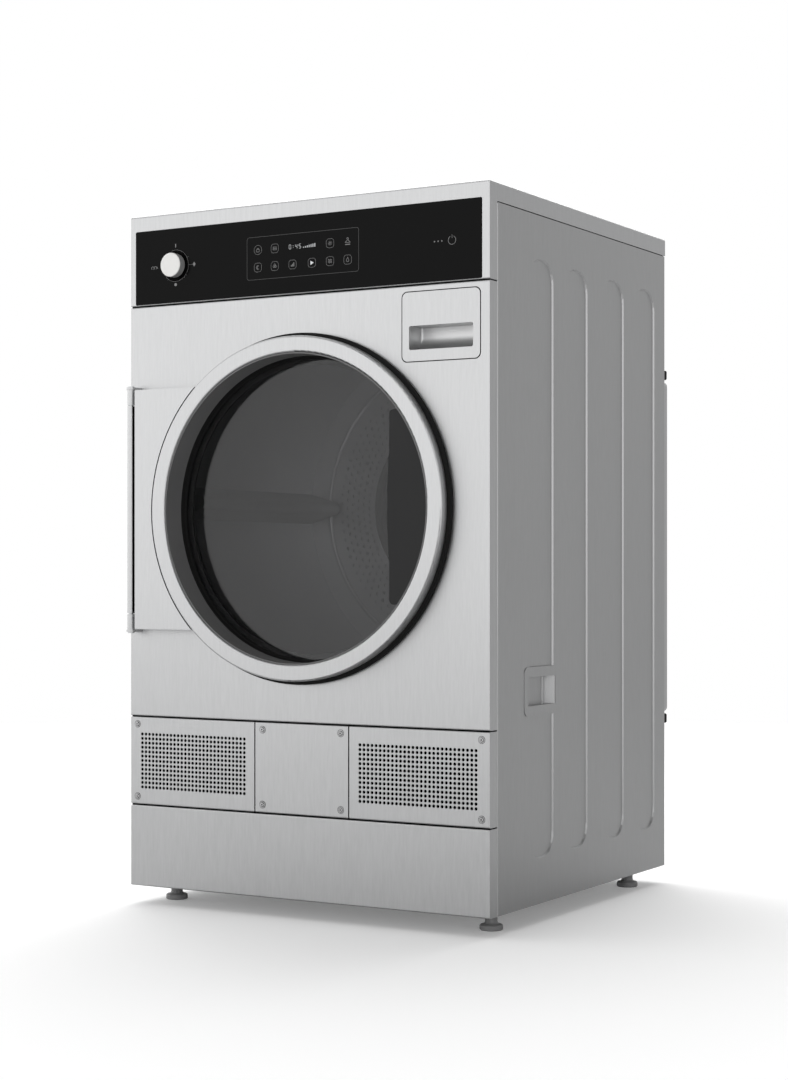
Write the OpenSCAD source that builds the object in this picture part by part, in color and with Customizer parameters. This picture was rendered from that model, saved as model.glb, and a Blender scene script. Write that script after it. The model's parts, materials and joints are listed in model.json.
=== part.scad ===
// Free-standing condensing tumble dryer with a round glazed door, for commercial use.
// Millimetres. X = 0 is the middle of the cabinet, -Y is the front and Z = 0 is the floor.
// The modules draw in cabinet coordinates: Y = 0 is the front panel's face and Z = 0 is the
// cabinet's underside. placed() moves them onto the feet and centres the whole depth.

/* [Cabinet] */
// Width over the side panels
cab_w = 686; // [680:1:700]
// Depth from the front panel's face to the rear panel's face
cab_d = 675; // [672:1:700]
// Height without the feet
cab_h = 1130; // [1126:1:1145]
// Thickness of the sheet steel
sheet = 1.2; // [1:0.1:1.4]
// Depth of the side returns of the front panels
return_d = 25; // [22:1:28]
// Width of the seams between the panels
seam = 2.2; // [2:0.2:3]
// Height of the top cover's side flange
flange_h = 30; // [28:1:34]

/* [Front rows] */
// Height of the plinth panel
plinth_h = 137; // [132:1:140]
// Height of the row with the grilles
vent_h = 149; // [146:1:152]
// Height of the fascia
fascia_h = 153; // [151:1:156]
// Half of the width of the service cover
cover_half = 90; // [86:1:94]

/* [Grilles] */
// Diameter of the air holes
hole_d = 5.3; // [4.4:0.1:5.5]
// Distance between neighbouring air holes
hole_pitch = 7.44; // [7:0.02:7.6]
// Holes across each grille
hole_cols = 29; // [20:1:30]
// Holes up each grille
hole_rows = 13; // [8:1:14]

/* [Control strip] */
// Width of the black glass
glass_w = 662; // [650:1:664]
// Height of the black glass
glass_h = 123; // [118:1:123]
// Distance of the dial from the middle
dial_x = 249.5; // [240:0.5:260]
// Diameter of the dial knob
knob_d = 40; // [36:0.2:44]
// How far the knob stands out
knob_proud = 16.3; // [14:0.1:20]

/* [Door] */
// Distance of the door's centre from the middle of the cabinet
door_x = -2.5; // [-4:0.5:0]
// Height of the door's centre above the cabinet's underside
door_z = 631; // [628:0.5:634]
// Outer radius of the stainless ring
ring_r = 277; // [276:0.5:280]
// Inner radius of the stainless ring
ring_in_r = 250.5; // [250:0.5:252]
// How far the ring's face stands out from the front panel
door_proud = 28; // [27:0.5:30]
// Radius of the visible glass
window_r = 235; // [232:1:238]
// Thickness of the door glass
pane_t = 5; // [4:0.5:5]

/* [Hinge] */
// Distance of the hinge pin from the middle
hinge_x = 328; // [326:0.5:330]
// Distance of the hinge pin in front of the front panel
hinge_proud = 19.5; // [19:0.5:20]
// Radius of the hinge barrel
barrel_r = 6.5; // [6:0.1:7]
// Radius of the hinge pin
pin_r = 4; // [3.5:0.1:4.5]
// Height of the hinge strap
strap_h = 400; // [390:1:410]

/* [Drum] */
// Inner radius of the drum
drum_r = 312; // [308:0.5:313]
// Height of the drum's axis above the cabinet's underside
drum_z = 648; // [646:0.5:650]
// Depth of the drum's front edge behind the front panel
drum_front = 70; // [70:1:72]
// Depth of the drum's back wall behind the front panel
drum_back_y = 520; // [515:1:522]
// Height of the lifters
lifter_h = 66; // [50:1:75]

/* [Drawer] */
// Distance of the drawer's centre from the middle
drawer_x = 257.5; // [256:0.5:258]
// Height of the drawer's centre above the cabinet's underside
drawer_z = 912; // [911:0.5:914]
// Width of the drawer front
drawer_w = 137.6; // [134:0.2:138]
// Height of the drawer front
drawer_h = 107.8; // [106:0.2:108]

/* [Feet] */
// Height of the feet under the cabinet
foot_h = 31; // [28:1:36]
// Radius of the foot pads
pad_r = 18.5; // [17:0.5:20]
// Distance of the feet from the cabinet's sides
foot_in_x = 38.5; // [38:0.5:46]
// Distance of the feet from the cabinet's front and back
foot_in_y = 78; // [66:1:84]

/* [Rear] */
// How far the rear cover stands out behind the rear panel
rear_proud = 24; // [20:1:26]

/* [Hidden] */

// Colours
steel = [0.78, 0.78, 0.79];
side_steel = [0.60, 0.60, 0.61];
galvanised = [0.66, 0.68, 0.70];
dark_grey = [0.22, 0.22, 0.23];
black = [0.06, 0.06, 0.06];
off_white = [0.92, 0.91, 0.88];
copper = [0.72, 0.43, 0.28];

// Cabinet
half_w = cab_w / 2;
front_y = door_proud - (door_proud + cab_d + rear_proud) / 2;
vent_z = plinth_h;
panel_z = plinth_h + vent_h;
fascia_z = cab_h - fascia_h;
side_y = return_d + 1.5;
flange_z = cab_h - flange_h;
fold = 14;
bend_r = 2;
cover_r = 4;
side_bend_r = 2;
inner_x = half_w - 8;

// Control strip
glass_x = -1.5;
glass_z = fascia_z + 3.1 + glass_h / 2;
glass_t = 4;
dial_z = glass_z - 0.6;
collar_r = knob_d / 2 + 5.6;
dial_shaft_r = 3;
dial_shaft_bore = 3.05;

// Door, from the ring's face to the back of the pane
ring_back = -12;
plate_back = -10;
core_r = 256;
panel_hole_r = 261;
bulkhead_hole_r = 258;
shell_t = 2;
gasket_in_r = ring_r - 7.5;
gasket_out_r = ring_r + 5.8;
gasket_gap = 0.5;
liner_in_r = ring_in_r - 2.4;
liner_back = 16;
seal_r = 244;
pane_y = 27.5;
flange_y = pane_y + pane_t + 0.2;
flange_t = 3.8;
strap_edge = hinge_x - 14;
grip_plate_x = 179;
grip_plate_y = -24;
grip_plate_t = 5;
grip_bow_r = 1000;
hinge_bore_r = pin_r + 0.05;
barrel_h = 348;
knuckle_h = 26;
lug_t = 4;
hinge_gap = 1.5;
hinge_total_h = barrel_h + 2 * (knuckle_h + lug_t + hinge_gap);
leaf_t = 3;
leaf_h = barrel_h - 14;

// Drum and drive
drum_t = 1.2;
drum_out_r = drum_r + drum_t;
belt_gap = 0.3;
belt_t = 3;
belt_w = 12;
belt_y = 300;
pulley_r = 22;
motor_x = 205;
motor_z = 200;
roller_r = 25;
roller_gap = 0.3;
roller_w = 24;
roller_y = 86;
roller_angle = 28;
roller_reach = drum_out_r + roller_gap + roller_r;
roller_x = roller_reach * sin(roller_angle);
roller_z = drum_z - roller_reach * cos(roller_angle);
axle_r = 6;
axle_bore = 6.05;
bulkhead_y = 60;
rear_wall_y = 546;
shaft_r = 15;
shaft_bore = 15.05;
bearing_r = 26;
motor_shaft_r = 8;
motor_shaft_bore = 8.05;

// Drawer: the tank stays clear of the drum's upper right
tank_x0 = 197;
tank_x1 = 319;
tank_z0 = 862;
tank_z1 = 958;
tank_step_z = 908;
tank_y0 = 46;
tank_y1 = 460;
tank_t = 2.5;
sleeve_gap = 1.5;
sleeve_t = 1.2;
slot_z = drawer_z - 17.4;
drawer_gap = 1.6;

// Fans, coils and ducts in the base
duct_x0 = -306;
duct_x1 = -64;
duct_z0 = 44;
duct_z1 = 256;
duct_t = 1.5;
filter_foot_x = 108.2;

// Moves a piece from cabinet coordinates to the frame of the whole machine
module placed() {
    translate([0, front_y, foot_h])
        children();
}

// A rectangle with round corners, centred
module rounded(w, h, r, corner_fn = 48) {
    square([w - 2 * r, h], center = true);
    square([w, h - 2 * r], center = true);
    for (x = [-1, 1], z = [-1, 1])
        translate([x * (w / 2 - r), z * (h / 2 - r)])
            circle(r = r, $fn = corner_fn);
}

// A flat piece that faces the front: X and Z are drawn, y is its front and t its thickness
module facing(y, t) {
    translate([0, y + t, 0])
        rotate([90, 0, 0])
            linear_extrude(t)
                children();
}

// A flat piece that faces the side: Y and Z are drawn, x is its lower face
module sideways(x, t) {
    translate([x, 0, 0])
        rotate([90, 0, 90])
            linear_extrude(t)
                children();
}

// A turned piece about an axis along Y: the profile is (radius, y)
module turned(x, z) {
    translate([x, 0, z])
        rotate([-90, 0, 0])
            rotate_extrude($fn = 180)
                children();
}

// A rod along Y
module rod(x, y, z, r, len) {
    translate([x, y, z])
        rotate([-90, 0, 0])
            cylinder(r = r, h = len, $fn = 72);
}

// A block given by its lowest and highest corners
module block(low, high) {
    translate(low)
        cube(high - low);
}

module mirrored() {
    children();
    mirror([1, 0, 0])
        children();
}

// Side view (Y, Z) of a panel whose front edges are bent with radius r
module bent_outline(z0, z1, depth, r) {
    translate([r, z0])
        square([depth - r, z1 - z0]);
    translate([0, z0 + r])
        square([depth, z1 - z0 - 2 * r]);
    for (z = [z0 + r, z1 - r])
        translate([r, z])
            circle(r = r, $fn = 48);
}

module bent_sheet(z0, z1) {
    difference() {
        bent_outline(z0, z1, fold, bend_r);
        translate([sheet, 0])
            bent_outline(z0 + sheet, z1 - sheet, fold, bend_r - sheet);
    }
}

// A flat panel with bent upper and lower edges
module folded_panel(x0, x1, z0, z1) {
    sideways(x0, x1 - x0)
        bent_sheet(z0, z1);
}

module side_return(z0, z1) {
    sideways(half_w - sheet, sheet)
        bent_outline(z0, z1, return_d, bend_r);
}

module full_width_panel(z0, z1) {
    folded_panel(-half_w, half_w, z0, z1);
    mirrored()
        side_return(z0, z1);
}

// ---- Cabinet ----

module base_pan() {
    pan_front = side_y + 2;
    pan_back = cab_d - 5;
    color(galvanised)
        placed()
            difference() {
                union() {
                    block([-inner_x, pan_front, 0], [inner_x, pan_back, 2]);
                    mirrored()
                        block([inner_x - 2, pan_front, 0], [inner_x, pan_back, 40]);
                    block([-inner_x, pan_front, 0], [inner_x, pan_front + 2, 40]);
                    block([-inner_x, pan_back - 2, 0], [inner_x, pan_back, 40]);
                    at_feet()
                        cylinder(r = 26, h = 8, $fn = 72);
                }
                at_feet()
                    translate([0, 0, -1])
                        cylinder(r = 6.1, h = 12, $fn = 48);
            }
}

module at_feet() {
    for (x = [-1, 1], y = [foot_in_y, cab_d - foot_in_y])
        translate([x * (half_w - foot_in_x), y, 0])
            children();
}

// The outline of a foot pad from its axis outwards, above the sole
module foot_outline() {
    pad_h = 9.5;
    edge_r = 3.5;
    neck_r = 9.8;
    flare_r = 5;
    square([pad_r - edge_r, pad_h]);
    translate([0, 1.5])
        square([pad_r, pad_h - 1.5 - edge_r]);
    polygon([[0, 0], [pad_r - 1.5, 0], [pad_r, 1.5], [0, 1.5]]);
    translate([pad_r - edge_r, pad_h - edge_r])
        circle(r = edge_r, $fn = 48);
    difference() {
        translate([0, pad_h])
            square([neck_r + flare_r - 1, flare_r]);
        translate([neck_r + flare_r, pad_h + flare_r])
            circle(r = flare_r, $fn = 48);
    }
    translate([0, pad_h])
        square([neck_r, foot_h - pad_h - 0.5]);
}

// Rubber pads with a flared neck
module foot_pads() {
    color(dark_grey)
        placed()
            at_feet()
                translate([0, 0, -foot_h])
                    rotate_extrude($fn = 96)
                        difference() {
                            foot_outline();
                            translate([0, 4])
                                square([6.05, foot_h]);
                            translate([pad_r - 0.6, 3.8])
                                square([2, 0.9]);
                        }
}

// Threaded studs with their lock nuts
module foot_studs() {
    color(galvanised)
        placed()
            at_feet() {
                translate([0, 0, 4 - foot_h])
                    cylinder(r = 6, h = foot_h + 24, $fn = 48);
                translate([0, 0, 8.2])
                    difference() {
                        cylinder(r = 10.5, h = 9, $fn = 6);
                        translate([0, 0, -1])
                            cylinder(r = 6.05, h = 11, $fn = 48);
                    }
            }
}

// An outline in two directions (u, v) with rounded upper corners
module arched(u0, u1, v0, v1, r) {
    translate([u0, v0])
        square([u1 - u0, v1 - v0 - r]);
    translate([u0 + r, v0])
        square([u1 - u0 - 2 * r, v1 - v0]);
    for (u = [u0 + r, u1 - r])
        translate([u, v1 - r])
            circle(r = r, $fn = 48);
}

// Solid under the top cover's skin, smaller by the inset
module cover_body(inset, z0) {
    r = cover_r - inset;
    side = half_w - inset;
    back = cab_d + 3 - inset;
    intersection() {
        facing(inset, back - inset)
            arched(-side, side, z0, cab_h - inset, r);
        sideways(-side, 2 * side)
            arched(inset, back, z0, cab_h - inset, r);
    }
}

// Top sheet, side flanges and fascia in one folded piece
module top_cover() {
    z0 = fascia_z + seam / 2;
    z_join = z0 + 6;
    z_over = z0 + 12;
    color(steel)
        placed()
            difference() {
                union() {
                    intersection() {
                        difference() {
                            cover_body(0, z0);
                            cover_body(sheet, z0 - 1);
                        }
                        union() {
                            block([-half_w - 1, -1, z_join - 1], [half_w + 1, return_d, cab_h + 1]);
                            block([-half_w - 1, -1, flange_z], [half_w + 1, cab_d + 4, cab_h + 1]);
                        }
                    }
                    sideways(-half_w, cab_w)
                        intersection() {
                            bent_sheet(z0, z_over);
                            square([return_d, z_join]);
                        }
                    mirrored()
                        sideways(half_w - sheet, sheet)
                            intersection() {
                                bent_outline(z0, z_over, return_d, bend_r);
                                square([return_d, z_join]);
                            }
                }
                facing(-1, 4)
                    translate([glass_x, glass_z])
                        rounded(glass_w + 1, glass_h + 1, 2.5);
            }
}

module front_panel() {
    lug_slot_h = lug_t + 0.6;
    color(steel)
        placed()
            difference() {
                full_width_panel(panel_z + seam / 2, fascia_z - seam / 2);
                facing(-1, 4)
                    translate([door_x, door_z])
                        circle(r = panel_hole_r, $fn = 240);
                facing(-1, 4)
                    translate([drawer_x, drawer_z])
                        rounded(drawer_w + 2 * drawer_gap, drawer_h + 2 * drawer_gap, 10);
                for (z = [-1, 1])
                    facing(-1, 4)
                        translate([-hinge_x, lug_z(z)])
                            square([17, lug_slot_h], center = true);
                magnet_places()
                    rod(0, -2, 0, 3.6, 6);
            }
}

// Middle of the upper (1) or lower (-1) hinge lug
function lug_z(side) = door_z + 3 + side * (barrel_h / 2 + knuckle_h + hinge_gap + lug_t / 2);

magnet_r = 266;

// The three magnets on the door's free side
module magnet_places() {
    for (a = [-5, 0, 5])
        translate([door_x + magnet_r * cos(a), 0, door_z + magnet_r * sin(a)])
            children();
}

channel_y = [152.5, 281.5, 428.5, 561.5];
channel_w = 85;
channel_h = 956;
channel_z = 551;
channel_depth = 2.5;
channel_slope = 2.2;
channel_r = 36;

// A pressed channel: a pocket whose four sides slope
module channel(grow, depth) {
    w = channel_w + 2 * grow;
    h = channel_h + 2 * grow;
    linear_extrude(depth, scale = [(w - 2 * channel_slope) / w, (h - 2 * channel_slope) / h])
        rounded(w, h, channel_r + grow, 24);
}

// A flat sheet with four channels, a hole for the grip and folded edges
// Front edge of a side panel in plan, smaller by the inset
module side_edge(inset) {
    x = half_w - side_bend_r;
    y = side_y + side_bend_r;
    x_low = half_w - fold - inset;
    translate([x_low, side_y + inset])
        square([x - x_low, side_bend_r + 2]);
    translate([x_low, y])
        square([half_w - inset - x_low, 2]);
    translate([x, y])
        circle(r = side_bend_r - inset, $fn = 64);
}

module side_panel() {
    high = flange_z - 1.6;
    difference() {
        union() {
            block([half_w - sheet, side_y + side_bend_r + 1, 0], [half_w, cab_d, high]);
            linear_extrude(high)
                difference() {
                    side_edge(0);
                    side_edge(sheet);
                }
            block([half_w - fold, cab_d - 2 - sheet, 0], [half_w, cab_d - 2, high]);
            block([half_w - fold, side_y, high - sheet], [half_w, cab_d - 2, high]);
            for (y = channel_y)
                translate([half_w - 0.01, y + side_y - 1, channel_z])
                    rotate([90, 0, -90])
                        channel(sheet, channel_depth + sheet);
        }
        for (y = channel_y)
            translate([half_w + 0.01, y + side_y - 1, channel_z])
                rotate([90, 0, -90])
                    channel(0, channel_depth);
        sideways(half_w - 10, 20)
            translate([grip_y, grip_z])
                rounded(grip_w + 2, grip_h + 2, 4);
    }
}

module side_panel_left() {
    color(side_steel)
        placed()
            mirror([1, 0, 0])
                side_panel();
}

module side_panel_right() {
    color(side_steel)
        placed()
            side_panel();
}

// Grip in each side: a bezel with a cup that is deeper towards the back
grip_y = 177;
grip_z = 340.3;
grip_w = 100;
grip_h = 50;
grip_deep = 20;
grip_lip_y = 25.2;
grip_lip_r = 1.8;

// Hand cup in plan: (X from the side's face, Y from the cup's middle). The fingers hook
// behind the bead, and the rear wall slopes out to the side's face.
module grip_hollow() {
    front = 2 - grip_w / 2;
    back = grip_w / 2 - 2;
    difference() {
        polygon([[2, front], [2, back], [0, back], [2 - grip_deep, back - 8],
                 [2 - grip_deep, grip_lip_y + 5.8], [-12.6, grip_lip_y + 1],
                 [-12, grip_lip_y], [-12, front]]);
        translate([-12, grip_lip_y])
            circle(r = grip_lip_r, $fn = 48);
    }
}

module side_grips() {
    bezel_t = 1;
    color(side_steel)
        placed()
            mirrored()
                difference() {
                    union() {
                        sideways(half_w, bezel_t)
                            translate([grip_y, grip_z])
                                rounded(121, 77.5, 10);
                        sideways(half_w - grip_deep, grip_deep)
                            translate([grip_y, grip_z])
                                rounded(grip_w, grip_h, 4);
                    }
                    translate([half_w, grip_y, grip_z - grip_h / 2 + 2])
                        linear_extrude(grip_h - 4)
                            grip_hollow();
                }
}

module rear_panel() {
    color(galvanised)
        placed()
            difference() {
                union() {
                    block([-half_w + sheet, cab_d - 1.9, 0], [half_w - sheet, cab_d - 0.7, flange_z - 1.6]);
                    mirrored()
                        block([inner_x - 8, cab_d - 12, 42], [inner_x - 8 + sheet, cab_d - 1.9, flange_z - 4]);
                }
                facing(cab_d - 3, 6)
                    translate([0, 575])
                        rounded(560, 540, 30);
                rod(drain_x, cab_d - 3, drain_z, 11.5, 6);
                rod(-245, cab_d - 3, 985, 6, 6);
            }
}

drain_x = -230;
drain_z = 90;
rear_low = 275;
rear_high = 875;

// Dished cover over the air duct at the back
module rear_cover() {
    mid = (rear_low + rear_high) / 2;
    w = 2 * (half_w - 5);
    h = rear_high - rear_low;
    color(steel)
        placed()
            difference() {
                facing(cab_d, rear_proud)
                    translate([0, mid])
                        rounded(w, h, 10);
                facing(cab_d - 1, rear_proud - sheet + 1)
                    translate([0, mid])
                        rounded(w - 2 * sheet, h - 2 * sheet, 9);
            }
}

// Rubber buffers above and below the rear cover
module rear_buffers() {
    color(black)
        placed()
            for (z = [rear_low - 20, rear_high + 2])
                mirrored()
                    facing(cab_d, 20)
                        translate([half_w - 16, z + 9])
                            rounded(24, 17, 3);
}

module plinth_panel() {
    color(steel)
        placed()
            full_width_panel(0, vent_z - seam / 2);
}

// One perforated panel; the screws are on its outer edge
module grille() {
    w = half_w - cover_half - seam / 2;
    mid_x = cover_half + seam / 2 + w / 2;
    mid_z = vent_z + vent_h / 2;
    difference() {
        union() {
            folded_panel(mid_x - w / 2, half_w, vent_z + seam / 2, panel_z - seam / 2);
            side_return(vent_z + seam / 2, panel_z - seam / 2);
        }
        facing(-1, 3)
            translate([215, mid_z])
                for (i = [0:hole_cols - 1], j = [0:hole_rows - 1])
                    translate([(i - (hole_cols - 1) / 2) * hole_pitch, (j - (hole_rows - 1) / 2) * hole_pitch])
                        circle(d = hole_d, $fn = 16);
        for (z = screw_z)
            rod(screw_x, -1, z, 2.3, 4);
    }
}

screw_x = half_w - 14;
screw_in_x = cover_half - 15;
screw_z = [vent_z + 14, panel_z - 13];

module grilles() {
    color(steel)
        placed()
            mirrored()
                grille();
}

module service_cover() {
    edge = cover_half - seam / 2;
    color(steel)
        placed()
            difference() {
                folded_panel(-edge, edge, vent_z + seam / 2, panel_z - seam / 2);
                for (x = [-1, 1], z = screw_z)
                    rod(x * screw_in_x, -1, z, 2.3, 4);
            }
}

// Countersunk washer screws with a six-lobed recess
module panel_screws() {
    color(galvanised)
        placed()
            for (x = [-screw_x, -screw_in_x, screw_in_x, screw_x], z = screw_z)
                translate([x, 0, z])
                    difference() {
                        union() {
                            turned(0, 0)
                                polygon([[0, -1.9], [2.6, -1.9], [3.2, -1.5], [3.4, -0.6],
                                         [5.2, -0.6], [5.5, -0.02], [0, -0.02]]);
                            rod(0, -0.02, 0, 2.25, 12);
                        }
                        rod(0, -3, 0, 1.4, 2.4);
                    }
}

// ---- Control strip ----

module control_glass() {
    color(black)
        placed()
            difference() {
                facing(-0.4, glass_t)
                    translate([glass_x, glass_z])
                        rounded(glass_w, glass_h, 2);
                rod(-dial_x, -2, dial_z, collar_r - 3, 10);
            }
}

// Carrier plate with the display and key electronics
module control_board() {
    color([0.1, 0.3, 0.18])
        placed()
            difference() {
                union() {
                    block([-dial_x - 40, 10, dial_z - 30], [140, 11.6, dial_z + 40]);
                    block([-60, 3.7, glass_z + 6], [60, 10, glass_z + 24]);
                    block([-dial_x - 12, 11.6, dial_z - 12], [-dial_x + 12, 20, dial_z + 12]);
                    for (x = [-86, -53, -18.5, 18.5, 53, 86])
                        translate([x, 3.7, glass_z - 15])
                            rotate([-90, 0, 0])
                                cylinder(r = 6, h = 6.3, $fn = 32);
                }
                rod(-dial_x, 0, dial_z, dial_shaft_bore, 17);
            }
}

// Round collar round the dial
module dial_collar() {
    color(black)
        placed()
            turned(-dial_x, dial_z)
                polygon([[dial_shaft_bore, -1.4], [collar_r - 1, -1.4], [collar_r, -0.42], [collar_r - 3.1, -0.42],
                         [collar_r - 3.1, 9.5], [dial_shaft_bore, 9.5]]);
}

module dial_knob() {
    r = knob_d / 2;
    color(off_white)
        placed() {
            turned(-dial_x, dial_z)
                polygon([[0, -knob_proud], [r - 1.5, -knob_proud], [r - 0.4, -knob_proud + 0.6],
                         [r, -knob_proud + 1.8], [r, -2.2], [0, -2.2]]);
            rod(-dial_x, -2.2, dial_z, dial_shaft_r, 18.2);
        }
}

// ---- Services at the back ----

module terminal_box() {
    x0 = -300;
    x1 = -190;
    z0 = 940;
    z1 = 1030;
    color(dark_grey)
        placed() {
            difference() {
                block([x0, cab_d - 50, z0], [x1, cab_d - 2, z1]);
                block([x0 + 2, cab_d - 48, z0 + 2], [x1 - 2, cab_d - 1, z1 - 2]);
            }
            turned((x0 + x1) / 2, (z0 + z1) / 2)
                polygon([[5, cab_d - 0.6], [13, cab_d - 0.6], [13, cab_d + 6], [11, cab_d + 7],
                         [10, cab_d + 16], [8, cab_d + 18], [5, cab_d + 18]]);
        }
}

// Outlet of the condensate drain, for a hose pushed over it
module drain_spigot() {
    color(dark_grey)
        placed()
            difference() {
                union() {
                    rod(drain_x, cab_d - 60, drain_z, 11, 62);
                    rod(drain_x, cab_d - 0.6, drain_z, 16, 2.6);
                    rod(drain_x, cab_d + 2, drain_z, 10, 20);
                }
                rod(drain_x, cab_d - 58, drain_z, 7.5, 90);
            }
}

// ---- Hinge, on the cabinet ----

// Two lugs that reach through the front panel, each with a fixed knuckle and a backing plate
module hinge_brackets() {
    color(steel)
        placed()
            for (side = [-1, 1])
                difference() {
                    union() {
                        translate([-hinge_x, -hinge_proud, lug_z(side) - lug_t / 2])
                            cylinder(r = barrel_r + 1.5, h = lug_t, $fn = 72);
                        block([-hinge_x - barrel_r - 1.5, -hinge_proud, lug_z(side) - lug_t / 2],
                              [-hinge_x + barrel_r + 1.5, sheet + 3.2, lug_z(side) + lug_t / 2]);
                        block([-hinge_x - barrel_r - 1.5, sheet + 0.2, lug_z(side) - 20],
                              [-hinge_x + 34, sheet + 3.2, lug_z(side) + 20]);
                        translate([-hinge_x, -hinge_proud, lug_z(side) - side * (lug_t + knuckle_h) / 2 - knuckle_h / 2])
                            cylinder(r = barrel_r, h = knuckle_h, $fn = 72);
                    }
                    translate([-hinge_x, -hinge_proud, lug_z(side) - 50])
                        cylinder(r = hinge_bore_r, h = 100, $fn = 72);
                }
}

module hinge_pin() {
    color(galvanised)
        placed() {
            translate([-hinge_x, -hinge_proud, lug_z(-1) - lug_t / 2 - 1])
                cylinder(r = pin_r, h = hinge_total_h + 2, $fn = 72);
            translate([-hinge_x, -hinge_proud, lug_z(1) + lug_t / 2 + 0.1])
                cylinder(r = pin_r + 1.5, h = 1.5, $fn = 72);
            translate([-hinge_x, -hinge_proud, lug_z(-1) - lug_t / 2 - 1.6])
                cylinder(r = pin_r + 1.5, h = 1.5, $fn = 72);
        }
}

module door_magnets() {
    color(galvanised)
        placed()
            magnet_places()
                union() {
                    rod(0, plate_back + 0.7, 0, 3.2, 8.9 - plate_back);
                    rod(0, sheet + 0.1, 0, 4.6, 5);
                }
}

// ---- Door ----

// A channel-shaped ring or plate edge: front face and walls, open at the back
module ring_profile() {
    w = ring_r - ring_in_r;
    d = door_proud + ring_back;
    e = 3;
    difference() {
        union() {
            translate([ring_in_r + e, -door_proud])
                square([w - 2 * e, d]);
            translate([ring_in_r, -door_proud + e])
                square([w, d - e]);
            for (r = [ring_in_r + e, ring_r - e])
                translate([r, -door_proud + e])
                    circle(r = e, $fn = 48);
        }
        translate([ring_in_r + shell_t, -door_proud + shell_t])
            square([w - 2 * shell_t, d]);
    }
}

module door_ring() {
    color(steel)
        placed()
            turned(door_x, door_z)
                ring_profile();
}

strap_gap = 0.3;
strap_edge_step = 0.9;

module strap_outline(inset) {
    difference() {
        translate([-strap_edge + inset, door_z + 3 - strap_h / 2 + inset])
            square([strap_edge - inset, strap_h - 2 * inset]);
        translate([door_x, door_z])
            circle(r = ring_r + strap_gap + inset, $fn = 240);
    }
}

// Plate from the hinge to the ring, flush with the ring's face, hollow behind
module hinge_strap() {
    color(steel)
        placed()
            difference() {
                union() {
                    facing(-door_proud + strap_edge_step, door_proud + ring_back - strap_edge_step)
                        strap_outline(0);
                    facing(-door_proud, shell_t)
                        intersection() {
                            strap_outline(0);
                            translate([-strap_edge, door_z + 3 - strap_h / 2 + strap_edge_step])
                                square([strap_edge, strap_h - 2 * strap_edge_step]);
                        }
                }
                facing(-door_proud + shell_t, door_proud + ring_back)
                    strap_outline(shell_t);
                block([-strap_edge - 1, -hinge_proud - 2.5, door_z - leaf_h / 2 - 1 + 3],
                      [-strap_edge + 4, ring_back + 1, door_z + leaf_h / 2 + 1 + 3]);
            }
}

// Moving barrel with the leaf that carries the strap
module hinge_leaf() {
    mid = door_z + 3;
    color(steel)
        placed()
            difference() {
                union() {
                    translate([-hinge_x, -hinge_proud, mid - barrel_h / 2])
                        cylinder(r = barrel_r, h = barrel_h, $fn = 72);
                    block([-hinge_x, -hinge_proud - leaf_t / 2, mid - leaf_h / 2],
                          [-strap_edge + 30, -hinge_proud + leaf_t / 2, mid + leaf_h / 2]);
                    block([-strap_edge + 27, -hinge_proud - leaf_t / 2, mid - leaf_h / 2],
                          [-strap_edge + 30, ring_back - 0.05, mid + leaf_h / 2]);
                }
                translate([-hinge_x, -hinge_proud, mid - barrel_h])
                    cylinder(r = hinge_bore_r, h = 2 * barrel_h, $fn = 72);
            }
}

// Steel plate behind the ring and the strap
module door_back_plate() {
    color(galvanised)
        placed()
            facing(ring_back, plate_back - ring_back)
                difference() {
                    union() {
                        translate([door_x, door_z])
                            circle(r = ring_r - 0.5, $fn = 240);
                        translate([-strap_edge + 1, door_z + 3 - strap_h / 2 + 1])
                            square([strap_edge - 101, strap_h - 2]);
                    }
                    translate([door_x, door_z])
                        circle(r = core_r + 0.2, $fn = 240);
                }
}

// Dark wall of the recess, from the ring back to the pane
module door_liner() {
    color(dark_grey)
        placed()
            turned(door_x, door_z)
                polygon([[liner_in_r, -door_proud + 2], [ring_in_r - 0.3, -door_proud + 2],
                         [ring_in_r - 0.3, ring_back + 0.2], [core_r, ring_back + 0.2],
                         [core_r, flange_y + flange_t], [window_r, flange_y + flange_t],
                         [window_r, flange_y], [core_r - 3, flange_y],
                         [core_r - 3, liner_back], [liner_in_r, liner_back]]);
}

// Stepped black rubber that seats the pane
module door_seal() {
    seat = liner_back + 0.1;
    color(black)
        placed()
            turned(door_x, door_z)
                polygon([[liner_in_r, seat], [core_r - 3.1, seat], [core_r - 3.1, pane_y - 0.1],
                         [seal_r, pane_y - 0.1], [seal_r - 0.3, pane_y - 1.6],
                         [seal_r + 0.9, pane_y - 3], [seal_r + 0.7, pane_y - 4.4],
                         [seal_r + 1.6, pane_y - 5.2], [seal_r + 3.2, seat + 1.2]]);
}

module door_pane() {
    color([0.12, 0.12, 0.13, 0.5])
        placed()
            turned(door_x, door_z)
                translate([0, pane_y])
                    square([core_r - 4, pane_t]);
}

// Bumper gasket between the ring and the front panel
module door_gasket() {
    back = -gasket_gap;
    front = plate_back + 0.05;
    color(black)
        placed() {
            turned(door_x, door_z)
                polygon([[gasket_in_r, front], [ring_r + 1, front],
                         [gasket_out_r, front + 1.5], [gasket_out_r, back - 2.5],
                         [gasket_out_r - 2, back], [gasket_in_r + 5, back], [gasket_in_r, back - 3]]);
        }
}

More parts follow.
